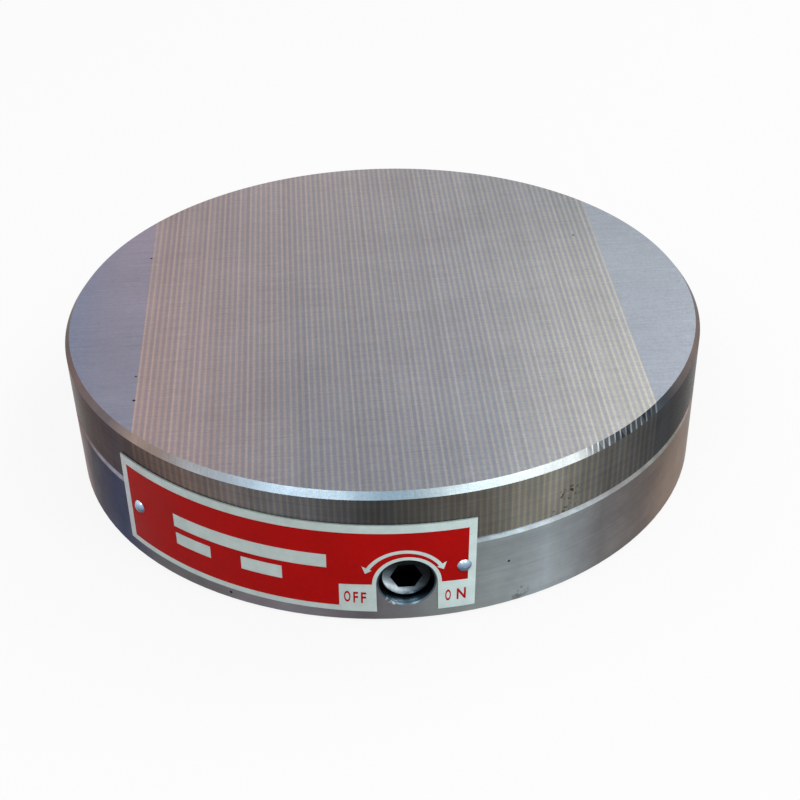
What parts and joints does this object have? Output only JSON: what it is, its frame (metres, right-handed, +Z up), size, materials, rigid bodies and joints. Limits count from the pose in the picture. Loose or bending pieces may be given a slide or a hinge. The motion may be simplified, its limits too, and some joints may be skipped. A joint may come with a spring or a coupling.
{
  "type": "round permanent magnetic chuck",
  "caption": "Round permanent-magnet workholding chuck with a laminated fine-pole face, a turned steel housing and a hex key shaft that slides the magnet pack between off and on.",
  "frame": {"origin": "centre of the underside, on the plane that the chuck stands on", "axes": "+Z up out of the working face, the face strips run along Y and the key hole opens towards -Y"},
  "size_m": [0.2, 0.2005, 0.045],
  "materials": {
    "housing_steel": "turned and lightly oiled",
    "face_steel": "surface ground",
    "strip_steel": "surface ground",
    "strip_brass": "surface ground",
    "black_screws": "black oxide",
    "bright_screws": "zinc plated",
    "seal_rubber": "matte",
    "nameplate_metal": "printed red over bare metal",
    "rivet_metal": "bright",
    "bush_bronze": "machined",
    "shaft_steel": "machined and greased",
    "carrier_aluminium": "machined",
    "pole_steel": "sawn and ground",
    "magnet_ferrite": "sintered"
  },
  "bodies": {
    "chuck_body": {"housing": "housing_steel", "face_plate_left_side": "face_steel", "face_plate_right_side": "face_steel", "pole_strips": "strip_steel", "brass_strips": "strip_brass", "face_plate_screws": "black_screws", "face_plate_seal": "seal_rubber", "nameplate": "nameplate_metal", "nameplate_rivets": "rivet_metal", "shaft_bush": "bush_bronze", "limit_screw": "black_screws", "guide_rails": "bush_bronze", "rail_screws": "bright_screws"},
    "key_shaft_body": {"key_shaft": "shaft_steel", "shaft_seal_ring": "seal_rubber"},
    "slide_block_body": {"slide_block": "bush_bronze"},
    "magnet_pack_body": {"carrier_plate": "carrier_aluminium", "pole_pieces": "pole_steel", "ferrite_magnets": "magnet_ferrite", "left_end_plate": "carrier_aluminium", "right_end_plate": "carrier_aluminium", "tie_rods": "bush_bronze", "tie_rod_nuts": "bush_bronze", "drive_yoke": "shaft_steel", "yoke_screws": "black_screws"}
  },
  "joints": [
    {"name": "shaft_turn", "type": "hinge", "parent": "chuck_body", "child": "key_shaft_body", "pos_m": [0, -0.0865, 0.01375], "axis": [0, 1, 0], "range_deg": [0, 180]},
    {"name": "block_pivot", "type": "hinge", "parent": "key_shaft_body", "child": "slide_block_body", "pos_m": [-0.0027, -0.0724, 0.01375], "axis": [0, 1, 0], "range_deg": [-180, 0]},
    {"name": "pack_slide", "type": "slide", "parent": "chuck_body", "child": "magnet_pack_body", "axis": [1, 0, 0], "range_m": [0, 0.0054]}
  ],
  "couplings": [
    {"joint": "shaft_turn", "follows": "pack_slide", "rad_per_m": 581.78},
    {"joint": "block_pivot", "follows": "pack_slide", "rad_per_m": -581.78}
  ]
}
